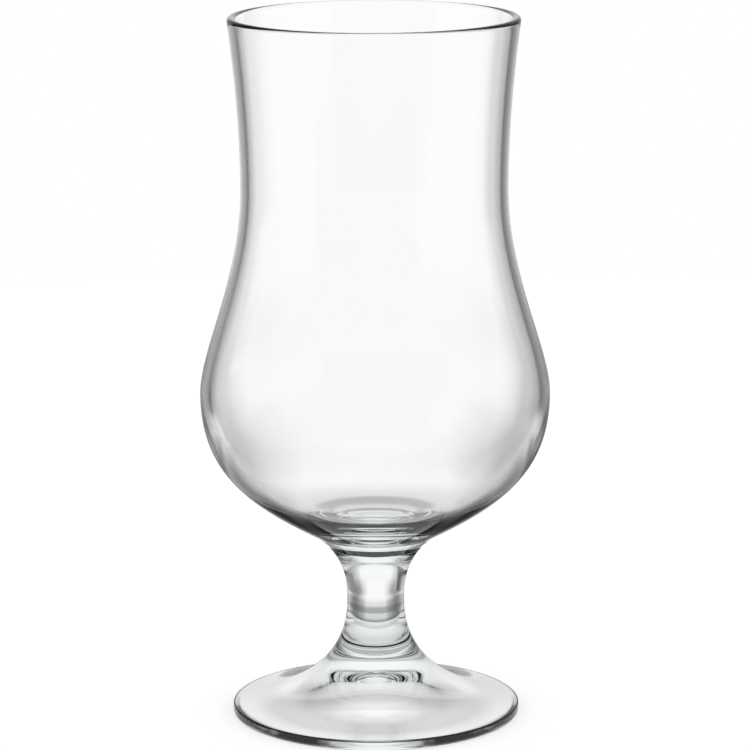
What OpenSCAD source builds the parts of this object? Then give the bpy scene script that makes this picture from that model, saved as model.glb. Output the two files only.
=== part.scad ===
// Footed hurricane glass: a blown bowl, a pressed stem and a pressed foot, fused face to face.
// The origin is the middle of the circle that the foot rests on, and +Z is the axis of the glass.

/* [Foot] */
// Diameter of the foot
foot_d = 72.7; // [60:0.1:90]
// Height of the foot's upright edge
foot_edge_h = 2.5; // [1.8:0.1:4]
// Radius of the round at the top of that edge
foot_corner_r = 0.5; // [0.2:0.1:0.9]
// Radius of the round at the bottom of that edge
foot_toe_r = 0.8; // [0.3:0.1:0.9]
// Angle above level at which the top of the foot rises from its edge
foot_rise_angle = 10.6; // [4:0.1:16]
// Width of the flat ring under the foot that the glass rests on
bearing_ring_w = 1.2; // [0.8:0.1:4]

/* [Hollow under the foot] */
// Angle above level at which the underside rises from the flat ring
hollow_rise_angle = 10; // [4:0.5:16]
// Diameter of the hollow's shoulder, where it turns from hollow to domed
shoulder_d = 24; // [18:0.5:32]
// Height of that shoulder
shoulder_h = 7.2; // [5:0.1:9]
// Angle above level of the underside at that shoulder
shoulder_angle = 28; // [20:0.5:40]
// Height of the hollow at the axis
hollow_h = 10.2; // [9:0.1:12]

/* [Stem] */
// Diameter of the stem at its waist
stem_d = 14.5; // [10:0.1:20]
// Height of the stem's waist above the surface that the glass rests on
stem_waist_h = 29; // [24:0.1:40]
// Height of the joint of stem and bowl above the stem's waist
stem_head_h = 13.8; // [8:0.1:24]
// Angle below level at which the stem leaves the bowl
stem_head_angle = 51.5; // [30:0.5:70]
// How far the stem's head stands out past the bowl's base
stem_lip = 0.4; // [0.1:0.1:1]

/* [Bowl] */
// Diameter of the bowl's base, where the stem is joined
base_d = 22.5; // [18:0.1:28]
// Diameter of the heel, the edge at which the bowl's underside turns steeper
heel_d = 31.1; // [28:0.1:38]
// Height of the heel above the bowl's base
heel_h = 3.5; // [2:0.1:6]
// Angle above level at which the bowl's underside leaves the heel
heel_angle = 28; // [15:0.5:45]
// Diameter of the belly, the widest part of the bowl
belly_d = 88; // [75:0.1:110]
// Height of the belly above the bowl's base
belly_h = 39.9; // [30:0.1:55]
// Diameter of the waist between belly and rim
waist_d = 66.7; // [55:0.1:74]
// Height of the waist above the belly
waist_h = 51.6; // [38:0.1:70]
// Diameter of the rim
rim_d = 72.7; // [60:0.1:90]
// Height of the rim above the waist
rim_h = 43.2; // [30:0.1:60]
// Angle from upright at which the wall reaches the rim
rim_angle = 7.5; // [0:0.5:15]

/* [Glass thickness] */
// Thickness of the fire-polished rim
rim_wall = 2; // [1.2:0.1:3]
// Thickness of the wall at the waist
waist_wall = 1.95; // [1.2:0.05:3]
// Thickness of the wall at the belly
belly_wall = 2.4; // [1.4:0.1:4]
// Thickness of the glass from the bowl's base up to its floor inside
floor_t = 6.2; // [4:0.1:12]

/* [Hidden] */
$fn = 144;

// Steps in each curve and in each round edge of an outline
curve_steps = 16;
edge_steps = 8;

// Handles of the curves, as shares of the height or the radius that each curve spans
rim_shares = [0.27, 0.35];
waist_shares = [0.42, 0.215];
belly_shares = [0.5, 0.573];
floor_shares = [0.68, 0.44];
head_shares = [0.42, 0.41];
foot_shares = [0.54, 0.514];
skirt_shares = [0.33, 0.33];
dome_shares = [0.33, 0.33];

// Where along the curve from the stem's waist to the foot's edge the foot is joined
foot_joint_share = 0.42;

// Heights above the surface that the glass rests on
base_z = stem_waist_h + stem_head_h;
heel_z = base_z + heel_h;
belly_z = base_z + belly_h;
waist_z = belly_z + waist_h;
rim_z = waist_z + rim_h;

// Radii
rim_r = rim_d / 2;
waist_r = waist_d / 2;
belly_r = belly_d / 2;
heel_r = heel_d / 2;
base_r = base_d / 2;
stem_r = stem_d / 2;
foot_r = foot_d / 2;
shoulder_r = shoulder_d / 2;

// Middles of the round edges of rim and foot
rim_edge_r = rim_wall / 2;
rim_edge = [rim_r - rim_edge_r, rim_z - rim_edge_r];
foot_corner = [foot_r - foot_corner_r, foot_edge_h - foot_corner_r];
foot_toe = [foot_r - foot_toe_r, foot_toe_r];

// A direction in an outline, at an angle above the radius
function toward(angle) = [cos(angle), sin(angle)];

// The point at the share t of the curve from a to d, with the handles b and c
function curve_point(a, b, c, d, t) =
    pow(1 - t, 3) * a + 3 * pow(1 - t, 2) * t * b + 3 * (1 - t) * t * t * c + pow(t, 3) * d;

// The points of that curve between two of its shares
function curve(a, b, c, d, from_share = 0, to_share = 1) =
    [for (i = [0 : curve_steps])
        curve_point(a, b, c, d, from_share + (to_share - from_share) * i / curve_steps)];

// The points of a round edge
function edge(middle, radius, from_angle, to_angle) =
    [for (i = [0 : edge_steps])
        middle + radius * toward(from_angle + (to_angle - from_angle) * i / edge_steps)];

// The upper wall from the belly to the rim, on the outside or the inside of the glass
function upper_wall(belly, waist, rim) =
    concat(
        curve(
            belly,
            belly + [0, waist_shares[1] * waist_h],
            waist - [0, waist_shares[0] * waist_h],
            waist
        ),
        curve(
            waist,
            waist + [0, rim_shares[1] * rim_h],
            rim - rim_shares[0] * rim_h * toward(90 - rim_angle),
            rim
        )
    );

// The bowl's underside from the heel up to the belly
function underside() =
    curve(
        [heel_r, heel_z],
        [heel_r, heel_z] + belly_shares[1] * (belly_z - heel_z) * toward(heel_angle),
        [belly_r, belly_z - belly_shares[0] * (belly_z - heel_z)],
        [belly_r, belly_z]
    );

// The bowl's floor inside, from the axis out and up to the belly
function floor_inside(belly) =
    curve(
        [0, base_z + floor_t],
        [floor_shares[1] * belly.x, base_z + floor_t],
        belly - [0, floor_shares[0] * (belly_h - floor_t)],
        belly
    );

// The points of a list in the opposite order
function reversed(points) = [for (i = [len(points) - 1 : -1 : 0]) points[i]];

// The flare from the stem's waist down to the foot's edge, between two of its shares
function flare(from_share, to_share) =
    let (
        waist = [stem_r, stem_waist_h],
        tip = foot_corner + foot_corner_r * toward(90 - foot_rise_angle)
    )
    curve(
        waist,
        waist - [0, foot_shares[0] * (waist.y - tip.y)],
        tip + foot_shares[1] * foot_r * toward(180 - foot_rise_angle),
        tip,
        from_share,
        to_share
    );

// The hollow under the foot: a skirt from the flat ring up to the shoulder, and the dome above it
function hollow_inside() =
    let (
        ring = [foot_toe.x - bearing_ring_w, 0],
        shoulder = [shoulder_r, shoulder_h],
        apex = [0, hollow_h],
        skirt_w = ring.x - shoulder.x
    )
    concat(
        curve(
            ring,
            ring + skirt_shares[0] * skirt_w * toward(180 - hollow_rise_angle),
            shoulder - skirt_shares[1] * skirt_w * toward(180 - shoulder_angle),
            shoulder
        ),
        curve(
            shoulder,
            shoulder + dome_shares[0] * shoulder_r * toward(180 - shoulder_angle),
            apex + [dome_shares[1] * shoulder_r, 0],
            apex
        )
    );

module bowl() {
    belly_inside = [belly_r - belly_wall, belly_z];
    waist_inside = [waist_r - waist_wall, waist_z];
    rim_out = rim_edge + rim_edge_r * toward(-rim_angle);
    rim_in = rim_edge + rim_edge_r * toward(180 - rim_angle);
    color("lightcyan", 0.4)
    rotate_extrude()
    polygon(concat(
        [[0, base_z], [base_r, base_z]],
        underside(),
        upper_wall([belly_r, belly_z], [waist_r, waist_z], rim_out),
        edge(rim_edge, rim_edge_r, -rim_angle, 180 - rim_angle),
        reversed(upper_wall(belly_inside, waist_inside, rim_in)),
        reversed(floor_inside(belly_inside))
    ));
}

module stem() {
    head = [base_r + stem_lip, base_z];
    waist = [stem_r, stem_waist_h];
    joint = flare(0, foot_joint_share);
    color("lightcyan", 0.4)
    rotate_extrude()
    polygon(concat(
        [[0, base_z]],
        curve(
            head,
            head + head_shares[0] * stem_head_h * toward(180 + stem_head_angle),
            waist + [0, head_shares[1] * stem_head_h],
            waist
        ),
        joint,
        [[0, joint[curve_steps].y]]
    ));
}

module foot() {
    top = flare(foot_joint_share, 1);
    color("lightcyan", 0.4)
    rotate_extrude()
    polygon(concat(
        [[0, top[0].y]],
        top,
        edge(foot_corner, foot_corner_r, 90 - foot_rise_angle, 0),
        edge(foot_toe, foot_toe_r, 0, -90),
        hollow_inside()
    ));
}

bowl();
stem();
foot();
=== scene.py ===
"""Looks of the footed hurricane glass: bowl, stem and foot in clear glass, in a white studio.

Every size is in millimetres, as in the part's source, and each mesh is made in place, in metres.
"""

import logging
import math
from dataclasses import dataclass, field
from enum import Enum
from typing import Any, Optional

import bpy
from mathutils import Matrix, Vector


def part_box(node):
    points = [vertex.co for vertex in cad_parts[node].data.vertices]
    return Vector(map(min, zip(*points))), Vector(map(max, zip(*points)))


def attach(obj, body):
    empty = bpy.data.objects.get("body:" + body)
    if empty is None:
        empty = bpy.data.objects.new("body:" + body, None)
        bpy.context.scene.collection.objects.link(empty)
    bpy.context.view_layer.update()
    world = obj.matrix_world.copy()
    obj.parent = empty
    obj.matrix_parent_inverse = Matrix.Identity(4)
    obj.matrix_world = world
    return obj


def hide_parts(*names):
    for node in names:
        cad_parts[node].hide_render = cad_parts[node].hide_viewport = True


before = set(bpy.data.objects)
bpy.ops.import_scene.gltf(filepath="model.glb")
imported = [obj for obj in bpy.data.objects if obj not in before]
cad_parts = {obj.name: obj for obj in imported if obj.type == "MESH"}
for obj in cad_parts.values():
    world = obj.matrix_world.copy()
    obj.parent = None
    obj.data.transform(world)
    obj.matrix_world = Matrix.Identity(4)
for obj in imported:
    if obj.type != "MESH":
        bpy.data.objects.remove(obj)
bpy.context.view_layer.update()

MM = 0.001
LOG = logging.getLogger("hurricane_glass")

# The attribute that tells outer faces from faces that are fused to the next piece
FACE_IOR = "face_ior"
AIR_IOR = 1.0

# Fused faces stay this far apart, so that light always leaves one piece before it enters the next
FUSED_GAP = 0.01

# Where one level goes over into the next: from and to, in millimetres or degrees
Span = tuple[float, float]

# Stops of a falloff of light: a place in millimetres or degrees, and the level there
Levels = tuple[tuple[float, float], ...]


def linear(hex_colour: str) -> tuple[float, float, float, float]:
    """Turns an sRGB hex colour into linear light.

    Args:
        hex_colour: Six hex digits after a hash sign.

    Returns:
        Red, green, blue and an alpha of 1.
    """
    shares = [int(hex_colour[i:i + 2], 16) / 255 for i in (1, 3, 5)]
    red, green, blue = (s / 12.92 if s <= 0.04045 else ((s + 0.055) / 1.055) ** 2.4 for s in shares)
    return red, green, blue, 1.0


def add_node(
    tree: bpy.types.NodeTree,
    kind: str,
    settings: Optional[dict[str, Any]] = None,
    inputs: Optional[dict[Any, Any]] = None,
) -> bpy.types.Node:
    """Adds a node with its settings, and sets or links its inputs.

    Args:
        tree: The node tree that gets the node.
        kind: The node's type name.
        settings: Properties of the node, by name.
        inputs: Values, or output sockets to link from, by input name or number.

    Returns:
        The new node.
    """
    node = tree.nodes.new(kind)
    for name, value in (settings or {}).items():
        setattr(node, name, value)
    for name, value in (inputs or {}).items():
        if isinstance(value, bpy.types.NodeSocket):
            tree.links.new(value, node.inputs[name])
        else:
            node.inputs[name].default_value = value
    return node


def new_material(name: str) -> bpy.types.Material:
    """Makes a material with an empty node tree."""
    made = bpy.data.materials.new(name)
    made.use_nodes = True
    made.node_tree.nodes.clear()
    return made


def toward(angle: float) -> Vector:
    """The direction at an angle in degrees above the radius, in an outline's plane."""
    return Vector((math.cos(math.radians(angle)), math.sin(math.radians(angle))))


@dataclass(frozen=True)
class Stroke:
    """One Bezier stroke of an outline, as points of (radius, height)."""

    start: Vector
    leave: Vector
    arrive: Vector
    end: Vector

    @classmethod
    def line(cls, start: Vector, end: Vector) -> "Stroke":
        """A straight stroke, with its handles at its thirds."""
        return cls(start, start.lerp(end, 1 / 3), start.lerp(end, 2 / 3), end)

    @classmethod
    def arc(cls, middle: Vector, radius: float, from_angle: float, to_angle: float) -> "Stroke":
        """A round stroke.

        Args:
            middle: The middle of the arc.
            radius: Its radius.
            from_angle: Where it starts, in degrees above the radius.
            to_angle: Where it ends, at most a quarter turn from there.

        Returns:
            The stroke.
        """
        turn = 1 if to_angle > from_angle else -1
        reach = 4 / 3 * math.tan(math.radians(abs(to_angle - from_angle)) / 4) * radius
        start = middle + radius * toward(from_angle)
        end = middle + radius * toward(to_angle)
        return cls(
            start,
            start + turn * reach * toward(from_angle + 90),
            end - turn * reach * toward(to_angle + 90),
            end,
        )

    def part(self, from_share: float, to_share: float) -> "Stroke":
        """The same stroke between two of its shares.

        Args:
            from_share: Share at which the part starts.
            to_share: Share at which it ends.

        Returns:
            The part, as a stroke of its own.
        """
        def blossom(u: float, v: float, w: float) -> Vector:
            """The point that three shares give by repeated halving."""
            a, b, c = (
                p.lerp(q, u)
                for p, q in ((self.start, self.leave), (self.leave, self.arrive), (self.arrive, self.end))
            )
            return a.lerp(b, v).lerp(b.lerp(c, v), w)

        s, t = from_share, to_share
        return Stroke(blossom(s, s, s), blossom(s, s, t), blossom(s, t, t), blossom(t, t, t))

    def back(self) -> "Stroke":
        """The same stroke drawn the other way."""
        return Stroke(self.end, self.arrive, self.leave, self.start)


class Forming(Enum):
    """How a glass piece was shaped. The value scales the texture of its waves round the glass.

    Blowing stretches the waves round the glass, and a mould leaves them even.
    """

    BLOWN = 0.5
    PRESSED = 1.0


@dataclass(frozen=True)
class SodaLimeGlass:
    """Clear soda-lime glass: smooth, colourless where it is thin and grey-green where it is thick.

    A fire-polished surface is mirror-smooth, and a pressed one may be a little softer. The mould and
    the blowing leave waves a hundredth of a millimetre or two high, which bend the light and the dark
    that show through the glass.
    """

    name: str
    forming: Forming
    ior: float = 1.52
    roughness: float = 0.0
    tint: str = "#FFFFFF"
    thick_tint: str = "#DEF3EF"
    absorption_per_m: float = 9.0
    wave_length: float = 14.0
    wave_height: float = 0.01

    def material(self) -> bpy.types.Material:
        """Builds the material.

        Returns:
            A material for the closed mesh of one piece.
        """
        made = new_material(self.name)
        tree = made.node_tree
        place = add_node(tree, "ShaderNodeTexCoord")
        stretch = self.forming.value
        spread = add_node(
            tree, "ShaderNodeMapping", None,
            {"Vector": place.outputs["Object"], "Scale": (stretch, stretch, 1.0)},
        )
        waves = add_node(
            tree, "ShaderNodeTexNoise", None,
            {"Vector": spread.outputs[0], "Scale": 1 / (self.wave_length * MM), "Detail": 1.0},
        )
        bump = add_node(
            tree, "ShaderNodeBump", None,
            {"Height": waves.outputs[0], "Strength": 1.0, "Distance": self.wave_height * MM},
        )
        face = add_node(tree, "ShaderNodeAttribute", {"attribute_name": FACE_IOR})
        glass = add_node(
            tree, "ShaderNodeBsdfPrincipled", None,
            {
                "Base Color": linear(self.tint),
                "Roughness": self.roughness,
                "IOR": face.outputs["Fac"],
                "Transmission Weight": 1.0,
                "Normal": bump.outputs[0],
            },
        )
        depth = add_node(
            tree, "ShaderNodeVolumeAbsorption", None,
            {"Color": linear(self.thick_tint), "Density": self.absorption_per_m},
        )
        add_node(
            tree, "ShaderNodeOutputMaterial", None,
            {"Surface": glass.outputs[0], "Volume": depth.outputs[0]},
        )
        return made


def deselect() -> None:
    """Leaves edit mode and deselects every object."""
    if bpy.context.object and bpy.context.object.mode != "OBJECT":
        bpy.ops.object.mode_set(mode="OBJECT")
    bpy.ops.object.select_all(action="DESELECT")


@dataclass
class TurnedPiece:
    """A piece that is round about the axis of the glass: an outline, turned once round."""

    name: str
    node: str
    slot: str
    finish: SodaLimeGlass
    turns: int = 192
    stroke_steps: int = 20
    weld_reach: float = 0.001
    smooth_angle: float = 30.0
    height_slack: float = 0.001
    level_normal: float = 0.999

    def strokes(self) -> list[Stroke]:
        """The outline, from the axis to the axis."""
        raise NotImplementedError

    def fused(self) -> list[tuple[float, float]]:
        """Height and radius of each level face that is fused to the next piece."""
        raise NotImplementedError

    def draw(self) -> bpy.types.Object:
        """Draws the outline with the curve tool, point by point.

        Returns:
            The outline as an open curve in the plane of X and Z.
        """
        strokes = self.strokes()
        corners = [strokes[0].start, *(s.end for s in strokes)]
        deselect()
        bpy.ops.curve.primitive_bezier_curve_add(radius=MM, location=(0, 0, 0))
        outline = bpy.context.object
        outline.name = self.name
        outline.data.resolution_u = self.stroke_steps
        bpy.ops.object.mode_set(mode="EDIT")
        bpy.ops.curve.select_all(action="DESELECT")
        outline.data.splines[0].bezier_points[-1].select_control_point = True
        for here, there in zip(corners[1:-1], corners[2:]):
            step = (there - here) * MM
            bpy.ops.curve.extrude_move(TRANSFORM_OT_translate={"value": (step.x, 0, step.y)})
        bpy.ops.object.mode_set(mode="OBJECT")
        points = outline.data.splines[0].bezier_points
        before = [corners[0], *(s.arrive for s in strokes)]
        after = [*(s.leave for s in strokes), corners[-1]]
        for point, here, left, right in zip(points, corners, before, after):
            point.handle_left_type = point.handle_right_type = "FREE"
            point.co = (here.x * MM, 0, here.y * MM)
            point.handle_left = (left.x * MM, 0, left.y * MM)
            point.handle_right = (right.x * MM, 0, right.y * MM)
        return outline

    def turn(self, outline: bpy.types.Object) -> bpy.types.Object:
        """Turns the outline round the axis into a closed, smooth mesh.

        Args:
            outline: The drawn curve.

        Returns:
            The same object, now a mesh.
        """
        bpy.ops.object.convert(target="MESH")
        bpy.ops.object.mode_set(mode="EDIT")
        bpy.ops.mesh.select_all(action="SELECT")
        bpy.ops.mesh.spin(
            steps=self.turns, angle=math.tau, center=(0, 0, 0), axis=(0, 0, 1), use_auto_merge=True,
        )
        bpy.ops.mesh.select_all(action="SELECT")
        bpy.ops.mesh.remove_doubles(threshold=self.weld_reach * MM)
        bpy.ops.mesh.normals_make_consistent(inside=False)
        bpy.ops.object.mode_set(mode="OBJECT")
        bpy.ops.object.shade_smooth_by_angle(angle=math.radians(self.smooth_angle))
        return outline

    def mark_fused(self, piece: bpy.types.Object) -> int:
        """Gives each face the index of refraction that light meets there.

        Args:
            piece: The piece's mesh object.

        Returns:
            How many faces are fused.
        """
        ior = piece.data.attributes.new(FACE_IOR, "FLOAT", "FACE")
        joints = self.fused()
        count = 0
        for face in piece.data.polygons:
            reach = face.center.xy.length / MM
            joined = abs(face.normal.z) > self.level_normal and any(
                abs(face.center.z / MM - height) < self.height_slack and reach < edge
                for height, edge in joints
            )
            ior.data[face.index].value = AIR_IOR if joined else self.finish.ior
            count += joined
        return count

    def build(self) -> bpy.types.Object:
        """Models the piece, dresses it and puts it in its CAD node's place.

        Returns:
            The finished piece.
        """
        piece = self.turn(self.draw())
        fused = self.mark_fused(piece)
        piece.data.materials.append(self.finish.material())
        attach(piece, "root")
        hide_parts(self.node)
        LOG.info("%s: %d faces, %d of them fused", piece.name, len(piece.data.polygons), fused)
        return piece


@dataclass(frozen=True)
class Flare:
    """The line from the stem's waist down to the foot's edge, which stem and foot share."""

    waist_r: float = 7.25
    waist_h: float = 29.0
    foot_r: float = 36.35
    edge_h: float = 2.5
    corner_r: float = 0.5
    rise_angle: float = 10.6
    waist_share: float = 0.54
    foot_share: float = 0.514
    joint_share: float = 0.42

    def corner(self) -> Vector:
        """The middle of the round at the top of the foot's edge."""
        return Vector((self.foot_r - self.corner_r, self.edge_h - self.corner_r))

    def stroke(self) -> Stroke:
        """The whole line, as one stroke."""
        waist = Vector((self.waist_r, self.waist_h))
        tip = self.corner() + self.corner_r * toward(90 - self.rise_angle)
        return Stroke(
            waist,
            waist - Vector((0, self.waist_share * (waist.y - tip.y))),
            tip + self.foot_share * self.foot_r * toward(180 - self.rise_angle),
            tip,
        )

    def joint(self) -> Vector:
        """The point at which stem and foot are joined."""
        return self.stroke().part(0, self.joint_share).end


@dataclass
class Bowl(TurnedPiece):
    """The blown bowl: a heavy floor, a round belly, a narrow waist and a flared, rounded rim."""

    base_z: float = 42.8
    rim_z: float = 177.5
    base_r: float = 11.25
    heel_r: float = 15.55
    heel_h: float = 3.5
    heel_angle: float = 28.0
    belly_r: float = 44.0
    belly_h: float = 39.9
    waist_r: float = 33.35
    waist_h: float = 51.6
    rim_r: float = 36.35
    rim_angle: float = 7.5
    rim_wall: float = 2.0
    waist_wall: float = 1.95
    belly_wall: float = 2.4
    floor_t: float = 6.2
    rim_shares: tuple[float, float] = (0.27, 0.35)
    waist_shares: tuple[float, float] = (0.42, 0.215)
    belly_shares: tuple[float, float] = (0.5, 0.573)
    floor_shares: tuple[float, float] = (0.68, 0.44)

    def upper_wall(self, belly: Vector, waist: Vector, rim: Vector) -> list[Stroke]:
        """The wall from the belly up to the rim, on one side of the glass.

        Args:
            belly: Its lowest point.
            waist: Its narrowest point.
            rim: Where it meets the round of the rim.

        Returns:
            Two strokes.
        """
        rim_h = self.rim_z - waist.y
        return [
            Stroke(
                belly,
                belly + Vector((0, self.waist_shares[1] * self.waist_h)),
                waist - Vector((0, self.waist_shares[0] * self.waist_h)),
                waist,
            ),
            Stroke(
                waist,
                waist + Vector((0, self.rim_shares[1] * rim_h)),
                rim - self.rim_shares[0] * rim_h * toward(90 - self.rim_angle),
                rim,
            ),
        ]

    def strokes(self) -> list[Stroke]:
        """The outline, from the middle of the base out, over the rim and down to the floor."""
        belly_z = self.base_z + self.belly_h
        heel_z = self.base_z + self.heel_h
        base = Vector((self.base_r, self.base_z))
        heel = Vector((self.heel_r, heel_z))
        belly = Vector((self.belly_r, belly_z))
        belly_in = Vector((self.belly_r - self.belly_wall, belly_z))
        waist = Vector((self.waist_r, belly_z + self.waist_h))
        waist_in = waist - Vector((self.waist_wall, 0))
        edge_r = self.rim_wall / 2
        edge = Vector((self.rim_r - edge_r, self.rim_z - edge_r))
        floor = Vector((0, self.base_z + self.floor_t))
        underside = Stroke(
            heel,
            heel + self.belly_shares[1] * (belly_z - heel_z) * toward(self.heel_angle),
            belly - Vector((0, self.belly_shares[0] * (belly_z - heel_z))),
            belly,
        )
        inside = Stroke(
            floor,
            floor + Vector((self.floor_shares[1] * belly_in.x, 0)),
            belly_in - Vector((0, self.floor_shares[0] * (self.belly_h - self.floor_t))),
            belly_in,
        )
        rim_out = edge + edge_r * toward(-self.rim_angle)
        rim_in = edge + edge_r * toward(180 - self.rim_angle)
        wall_in = self.upper_wall(belly_in, waist_in, rim_in)
        return [
            Stroke.line(Vector((0, self.base_z)), base),
            Stroke.line(base, heel),
            underside,
            *self.upper_wall(belly, waist, rim_out),
            Stroke.arc(edge, edge_r, -self.rim_angle, 90 - self.rim_angle),
            Stroke.arc(edge, edge_r, 90 - self.rim_angle, 180 - self.rim_angle),
            *(s.back() for s in reversed(wall_in)),
            inside.back(),
        ]

    def fused(self) -> list[tuple[float, float]]:
        """The base, which the stem's head is fused to."""
        return [(self.base_z, self.base_r)]


@dataclass
class Stem(TurnedPiece):
    """The pressed stem: a solid bar, flared into the bowl above and into the foot below."""

    flare: Flare = field(default_factory=Flare)
    base_z: float = 42.8
    base_r: float = 11.25
    lip: float = 0.4
    head_angle: float = 51.5
    head_shares: tuple[float, float] = (0.42, 0.41)

    def strokes(self) -> list[Stroke]:
        """The outline, from the middle of the head out and down to the foot."""
        top = self.base_z - FUSED_GAP
        head_h = self.base_z - self.flare.waist_h
        base = Vector((self.base_r, top))
        head = Vector((self.base_r + self.lip, top))
        waist = Vector((self.flare.waist_r, self.flare.waist_h))
        joint = self.flare.joint()
        return [
            Stroke.line(Vector((0, top)), base),
            Stroke.line(base, head),
            Stroke(
                head,
                head + self.head_shares[0] * head_h * toward(180 + self.head_angle),
                waist + Vector((0, self.head_shares[1] * head_h)),
                waist,
            ),
            self.flare.stroke().part(0, self.flare.joint_share),
            Stroke.line(joint, Vector((0, joint.y))),
        ]

    def fused(self) -> list[tuple[float, float]]:
        """The head, up to the bowl's base, and the lower end."""
        joint = self.flare.joint()
        return [(self.base_z - FUSED_GAP, self.base_r), (joint.y, joint.x)]


@dataclass
class Foot(TurnedPiece):
    """The pressed foot: a disc that rises to a hub, hollow beneath, on a narrow flat ring."""

    flare: Flare = field(default_factory=Flare)
    toe_r: float = 0.8
    ring_w: float = 1.2
    hollow_angle: float = 10.0
    shoulder_r: float = 12.0
    shoulder_h: float = 7.2
    shoulder_angle: float = 28.0
    hollow_h: float = 10.2
    skirt_shares: tuple[float, float] = (0.33, 0.33)
    dome_shares: tuple[float, float] = (0.33, 0.33)

    def strokes(self) -> list[Stroke]:
        """The outline, from the middle of the hub out over the edge and in along the underside."""
        corner = self.flare.corner()
        toe = Vector((self.flare.foot_r - self.toe_r, self.toe_r))
        ring = Vector((toe.x - self.ring_w, 0))
        shoulder = Vector((self.shoulder_r, self.shoulder_h))
        apex = Vector((0, self.hollow_h))
        skirt_w = ring.x - shoulder.x
        top = self.flare.stroke().part(self.flare.joint_share, 1)
        hub = Vector((top.start.x, top.start.y - FUSED_GAP))
        top = Stroke(hub, top.leave, top.arrive, top.end)
        return [
            Stroke.line(Vector((0, hub.y)), hub),
            top,
            Stroke.arc(corner, self.flare.corner_r, 90 - self.flare.rise_angle, 0),
            Stroke.line(Vector((self.flare.foot_r, corner.y)), Vector((self.flare.foot_r, toe.y))),
            Stroke.arc(toe, self.toe_r, 0, -90),
            Stroke.line(Vector((toe.x, 0)), ring),
            Stroke(
                ring,
                ring + self.skirt_shares[0] * skirt_w * toward(180 - self.hollow_angle),
                shoulder - self.skirt_shares[1] * skirt_w * toward(180 - self.shoulder_angle),
                shoulder,
            ),
            Stroke(
                shoulder,
                shoulder + self.dome_shares[0] * self.shoulder_r * toward(180 - self.shoulder_angle),
                apex + Vector((self.dome_shares[1] * self.shoulder_r, 0)),
                apex,
            ),
        ]

    def fused(self) -> list[tuple[float, float]]:
        """The hub's top, which the stem is fused to."""
        joint = self.flare.joint()
        return [(joint.y - FUSED_GAP, joint.x)]


@dataclass(frozen=True)
class LightNodes:
    """Arithmetic on light levels inside one node tree."""

    tree: bpy.types.NodeTree

    def sums(self, operation: str, *values: Any) -> bpy.types.NodeSocket:
        """The result of one step of arithmetic on sockets or numbers."""
        return add_node(
            self.tree, "ShaderNodeMath", {"operation": operation}, dict(enumerate(values)),
        ).outputs[0]

    def degrees(self, radians: bpy.types.NodeSocket) -> bpy.types.NodeSocket:
        """Turns an angle in radians into degrees."""
        return self.sums("MULTIPLY", radians, 180 / math.pi)

    def mix(self, share: Any, first: Any, second: Any) -> bpy.types.NodeSocket:
        """The level between first, at a share of 0, and second, at a share of 1."""
        return add_node(
            self.tree, "ShaderNodeMix", {"data_type": "FLOAT"}, {0: share, 2: first, 3: second},
        ).outputs[0]

    def blend(self, value: Any, span: Span, first: Any, second: Any) -> bpy.types.NodeSocket:
        """Goes softly from first to second as value goes from the start of a span to its end."""
        share = add_node(
            self.tree, "ShaderNodeMapRange", {"interpolation_type": "SMOOTHSTEP"},
            {"Value": value, "From Min": span[0], "From Max": span[1]},
        )
        return self.mix(share.outputs[0], first, second)

    def falloff(self, value: Any, stops: Levels) -> bpy.types.NodeSocket:
        """The level at a value, straight between stops of a value and its level."""
        start, end = stops[0][0], stops[-1][0]
        share = add_node(
            self.tree, "ShaderNodeMapRange", None, {"Value": value, "From Min": start, "From Max": end},
        )
        ramp = add_node(self.tree, "ShaderNodeValToRGB", None, {0: share.outputs[0]})
        points = ramp.color_ramp.elements
        while len(points) < len(stops):
            points.new(1.0)
        for point, (place, level) in zip(points, stops):
            point.position = (place - start) / (end - start)
            point.color = (level, level, level, 1)
        return ramp.outputs[0]

    def through_glass(self) -> bpy.types.NodeSocket:
        """Tells light that the glass bends or mirrors from light that reaches the camera directly."""
        path = add_node(self.tree, "ShaderNodeLightPath")
        return self.sums("MAXIMUM", path.outputs["Is Transmission Ray"], path.outputs["Is Glossy Ray"])


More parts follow.
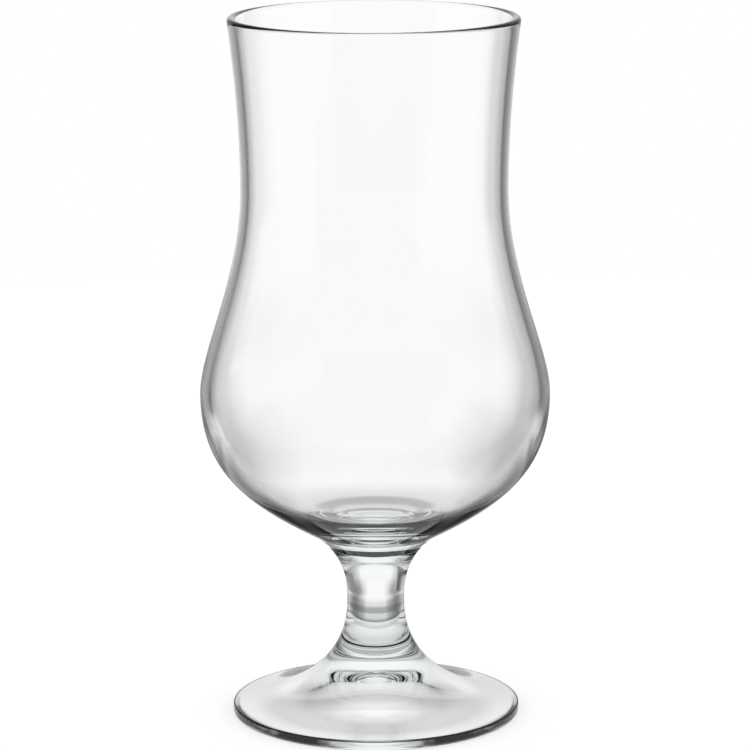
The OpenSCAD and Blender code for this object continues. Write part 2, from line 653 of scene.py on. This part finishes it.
@dataclass
class Studio:
    """The white studio: a pale table, a lit panel behind the glass, boards round it, and the camera.

    Clear glass shows what stands round it. The panel is white behind the glass and falls off to its
    sides, and the gaps beside it are dark, which draws the lines along the edges of the glass. Sides
    are in degrees from straight behind the glass, and heights of boards in degrees above level.
    """

    board_cuts: int = 3
    table_half: float = 600.0
    table_reach: Span = (150.0, 200.0)
    table_level: float = 0.8
    paper: str = "#D9D9D9"
    paper_glow: float = 0.42
    # Painted light and shade on the table under the foot, which only the glass shows
    painted_light_under_foot: Levels = (
        (0, 0.92), (8, 0.85), (16, 0.68), (26, 0.58), (31, 0.75), (36, 0.75), (40, 0.70),
    )
    foot_reach: Span = (36.0, 40.0)
    # Painted light: how much lighter the table is before the glass than behind it
    front_share: float = 1.12
    front_from: Span = (80.0, 110.0)
    # Painted shadows on the table behind the glass, by distance from its middle: dark rings round the foot,
    # the nearest for the glass's own shadow
    table: Levels = (
        (36, 0.15), (42, 0.30), (48, 0.65), (58, 0.70), (64, 0.38), (78, 0.38), (88, 0.75), (200, 0.85),
    )
    shaded_to: Span = (45.0, 65.0)
    # Painted shadows of the dark boards on the table, by side
    painted_board_shadows: Levels = (
        (-180, 1.0), (-75, 1.0), (-62, 0.80), (-48, 0.40), (-38, 0.20), (-31, 0.20), (-24, 0.35),
        (-17, 0.60), (-12, 1.0), (12, 1.0), (17, 0.60), (24, 0.35), (31, 0.20), (38, 0.20), (48, 0.40),
        (62, 0.80), (75, 1.0), (180, 1.0),
    )
    sides_reach: Span = (120.0, 160.0)
    panel_lights_from: Span = (90.0, 130.0)
    panel_y: float = 150.0
    panel_h: float = 500.0
    panel: Levels = (
        (-86, 0.64), (-70, 0.70), (-56, 0.94), (-46, 1.0), (46, 1.0), (56, 0.84), (68, 0.64), (88, 0.48),
        (100, 0.41),
    )
    panel_top: Levels = (
        (-86, 0.35), (-60, 0.50), (-30, 0.78), (0, 0.92), (40, 0.98), (60, 0.85), (80, 0.62), (100, 0.45),
    )
    panel_top_from: Span = (180.0, 300.0)
    panel_foot: Levels = (
        (-86, 0.45), (-60, 0.45), (-40, 0.80), (-25, 1.0), (25, 1.0), (40, 0.70), (60, 0.40), (100, 0.40),
    )
    panel_foot_to: Span = (0.0, 60.0)
    boards: Levels = (
        (-180, 0.65), (-128, 0.60), (-127, 0.90), (-76, 0.90), (-64, 0.74), (-54, 0.50), (-46, 0.20),
        (-40, 0.03), (-37, 0.03), (-33, 0.38), (-19, 0.42), (0, 0.50), (28, 0.28), (33, 0.20), (37, 0.20),
        (46, 0.20), (54, 0.30), (64, 0.50), (76, 0.90), (143, 0.90), (144, 0.60), (180, 0.65),
    )
    boards_from: Span = (-19.0, -14.5)
    boards_top: Levels = (
        (-180, 0.65), (-110, 0.60), (-90, 0.15), (-40, 0.10), (-25, 0.30), (0, 0.60), (25, 0.60),
        (40, 0.30), (90, 0.15), (110, 0.60), (180, 0.65),
    )
    boards_top_from: Span = (4.0, 18.0)
    lens: float = 188.06
    distance: float = 983.8
    aim_x: float = 0.0
    aim_z: float = 87.08
    pitch: float = 11.86
    roll: float = -0.19
    bounces: int = 24

    def start_board(self, name: str, size: float) -> bpy.types.Object:
        """Adds a level square board with its middle at the origin, and leaves it in edit mode.

        Args:
            name: The board's name.
            size: Its side, in millimetres.

        Returns:
            The board.
        """
        deselect()
        bpy.ops.mesh.primitive_plane_add(size=size * MM, location=(0, 0, 0))
        board = bpy.context.object
        board.name = name
        bpy.ops.object.mode_set(mode="EDIT")
        bpy.ops.mesh.subdivide(number_cuts=self.board_cuts)
        return board

    def stage_board(self, board: bpy.types.Object, finish: bpy.types.Material) -> None:
        """Gives a board its material and logs its faces."""
        board.data.materials.append(finish)
        LOG.info("%s: %d faces", board.name, len(board.data.polygons))

    def table_paper(self) -> bpy.types.Material:
        """Builds the table's material.

        Light that the glass bends or mirrors meets painted light and shade that fall off over the table, as
        far as its reach, and the boards beyond it. All other light meets plain matt paper, which looks
        white to the camera and keeps the shadow of the glass.

        Returns:
            The material.
        """
        made = new_material("pale_paper_table")
        tree = made.node_tree
        nodes = LightNodes(tree)
        place = add_node(tree, "ShaderNodeTexCoord")
        split = add_node(tree, "ShaderNodeSeparateXYZ", None, {0: place.outputs["Object"]})
        x = nodes.sums("DIVIDE", split.outputs["X"], MM)
        y = nodes.sums("DIVIDE", split.outputs["Y"], MM)
        reach = add_node(
            tree, "ShaderNodeVectorMath", {"operation": "LENGTH"}, {0: place.outputs["Object"]},
        )
        radius = nodes.sums("DIVIDE", reach.outputs["Value"], MM)
        side = nodes.degrees(nodes.sums("ARCTAN2", x, y))
        turned = nodes.sums("ABSOLUTE", side)
        # Painted shadows on the table behind the glass: the dark boards' shade, close to the foot too, and
        # a dark ring for the glass's own shadow
        shaded = nodes.blend(turned, self.shaded_to, nodes.falloff(radius, self.table), self.table_level)
        # Painted shadows of the dark boards beside the glass, which fade out between 120 and 160 mm from it
        sides = nodes.blend(radius, self.sides_reach, nodes.falloff(side, self.painted_board_shadows), 1.0)
        level = nodes.sums("MULTIPLY", shaded, sides)
        # Painted light and shade under the foot, lighter before the glass than behind it
        painted_front_light = nodes.blend(turned, self.front_from, 1.0, self.front_share)
        near = nodes.sums("MULTIPLY", nodes.falloff(radius, self.painted_light_under_foot), painted_front_light)
        level = nodes.blend(radius, self.foot_reach, near, level)
        # Painted light: behind the glass the table takes on the panel's light
        behind = nodes.sums("MULTIPLY", nodes.falloff(x, self.panel), nodes.falloff(x, self.panel_foot))
        level = nodes.blend(y, self.panel_lights_from, level, behind)
        lit = add_node(tree, "ShaderNodeEmission", None, {"Color": level})
        clear = add_node(tree, "ShaderNodeBsdfTransparent")
        beyond = nodes.blend(radius, self.table_reach, 0.0, 1.0)
        in_glass = add_node(
            tree, "ShaderNodeMixShader", None, {0: beyond, 1: lit.outputs[0], 2: clear.outputs[0]},
        )
        paper = add_node(tree, "ShaderNodeBsdfDiffuse", None, {"Color": linear(self.paper)})
        glow = add_node(tree, "ShaderNodeEmission", None, {"Strength": self.paper_glow})
        seen = add_node(tree, "ShaderNodeAddShader", None, {0: paper.outputs[0], 1: glow.outputs[0]})
        mixed = add_node(
            tree, "ShaderNodeMixShader", None,
            {0: nodes.through_glass(), 1: seen.outputs[0], 2: in_glass.outputs[0]},
        )
        add_node(tree, "ShaderNodeOutputMaterial", None, {"Surface": mixed.outputs[0]})
        return made

    def build_table(self) -> None:
        """Lays the pale table, a hair below the foot."""
        table = self.start_board("studio_table", 2 * self.table_half)
        bpy.ops.transform.translate(value=(0, 0, -FUSED_GAP * MM))
        bpy.ops.object.mode_set(mode="OBJECT")
        self.stage_board(table, self.table_paper())

    def panel_light(self) -> bpy.types.Material:
        """Builds the panel's material: levels that only the glass shows, and clear to other light."""
        made = new_material("lit_panel")
        tree = made.node_tree
        nodes = LightNodes(tree)
        place = add_node(tree, "ShaderNodeTexCoord")
        split = add_node(tree, "ShaderNodeSeparateXYZ", None, {0: place.outputs["Object"]})
        x = nodes.sums("DIVIDE", split.outputs["X"], MM)
        z = nodes.sums("DIVIDE", split.outputs["Z"], MM)
        level = nodes.blend(
            z, self.panel_top_from, nodes.falloff(x, self.panel), nodes.falloff(x, self.panel_top),
        )
        foot = nodes.blend(z, self.panel_foot_to, nodes.falloff(x, self.panel_foot), 1.0)
        level = nodes.sums("MULTIPLY", level, foot)
        lit = add_node(tree, "ShaderNodeEmission", None, {"Color": level})
        clear = add_node(tree, "ShaderNodeBsdfTransparent")
        mixed = add_node(
            tree, "ShaderNodeMixShader", None,
            {0: nodes.through_glass(), 1: clear.outputs[0], 2: lit.outputs[0]},
        )
        add_node(tree, "ShaderNodeOutputMaterial", None, {"Surface": mixed.outputs[0]})
        return made

    def build_panel(self) -> None:
        """Stands the lit panel behind the glass."""
        left, right = self.panel[0][0], self.panel[-1][0]
        panel = self.start_board("studio_panel", 1)
        bpy.ops.transform.resize(value=(right - left, self.panel_h, 1), center_override=(0, 0, 0))
        bpy.ops.transform.rotate(value=math.pi / 2, orient_axis="X", center_override=(0, 0, 0))
        bpy.ops.transform.translate(
            value=((left + right) / 2 * MM, self.panel_y * MM, self.panel_h / 2 * MM),
        )
        bpy.ops.object.mode_set(mode="OBJECT")
        self.stage_board(panel, self.panel_light())

    def light(self) -> None:
        """Lights the studio all round: boards to light in the glass, and plain white to the rest."""
        world = bpy.data.worlds.new("studio")
        bpy.context.scene.world = world
        world.use_nodes = True
        tree = world.node_tree
        tree.nodes.clear()
        nodes = LightNodes(tree)
        place = add_node(tree, "ShaderNodeTexCoord")
        split = add_node(tree, "ShaderNodeSeparateXYZ", None, {0: place.outputs["Generated"]})
        x, y, z = split.outputs
        side = nodes.degrees(nodes.sums("ARCTAN2", x, y))
        above = nodes.degrees(nodes.sums("ARCSINE", z))
        around = nodes.blend(above, self.boards_from, self.table_level, nodes.falloff(side, self.boards))
        around = nodes.blend(above, self.boards_top_from, around, nodes.falloff(side, self.boards_top))
        level = nodes.mix(nodes.through_glass(), 1.0, around)
        glow = add_node(tree, "ShaderNodeBackground", None, {"Color": level})
        add_node(tree, "ShaderNodeOutputWorld", None, {"Surface": glow.outputs[0]})

    def set_camera(self) -> None:
        """Puts the camera where the photograph was taken from."""
        pitch = math.radians(self.pitch)
        back = Vector((0, -math.cos(pitch), math.sin(pitch)))
        data = bpy.data.cameras.new("studio_camera")
        data.lens = self.lens
        camera = bpy.data.objects.new("studio_camera", data)
        bpy.context.scene.collection.objects.link(camera)
        camera.location = Vector((self.aim_x, 0, self.aim_z)) * MM + back * self.distance * MM
        turned = back.to_track_quat("Z", "Y").to_matrix() @ Matrix.Rotation(math.radians(self.roll), 3, "Z")
        camera.rotation_euler = turned.to_euler()
        bpy.context.scene.camera = camera
        bpy.context.scene.view_settings.view_transform = "Standard"
        cycles = bpy.context.scene.cycles
        cycles.max_bounces = self.bounces
        cycles.transmission_bounces = self.bounces
        cycles.transparent_max_bounces = self.bounces


def main() -> None:
    """Builds the glass and the studio."""
    logging.basicConfig(level=logging.INFO, format="%(name)s: %(message)s")
    flare = Flare()
    base_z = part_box("stem")[1].z / MM
    pieces = [
        Bowl(
            "glass_bowl", "bowl", "bowl_glass",
            SodaLimeGlass("soda_lime_glass_blown", Forming.BLOWN),
            base_z=base_z,
            rim_z=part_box("bowl")[1].z / MM,
            belly_r=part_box("bowl")[1].x / MM,
        ),
        Stem(
            "glass_stem", "stem", "stem_glass",
            SodaLimeGlass("soda_lime_glass_pressed_stem", Forming.PRESSED),
            flare=flare,
            base_z=base_z,
        ),
        Foot(
            "glass_foot", "foot", "foot_glass",
            SodaLimeGlass(
                "soda_lime_glass_pressed_foot", Forming.PRESSED, roughness=0.05, wave_height=0.02,
            ),
            flare=flare,
        ),
    ]
    for piece in pieces:
        piece.build()
    studio = Studio()
    studio.build_table()
    studio.build_panel()
    studio.light()
    studio.set_camera()


if __name__ == "__main__":
    main()
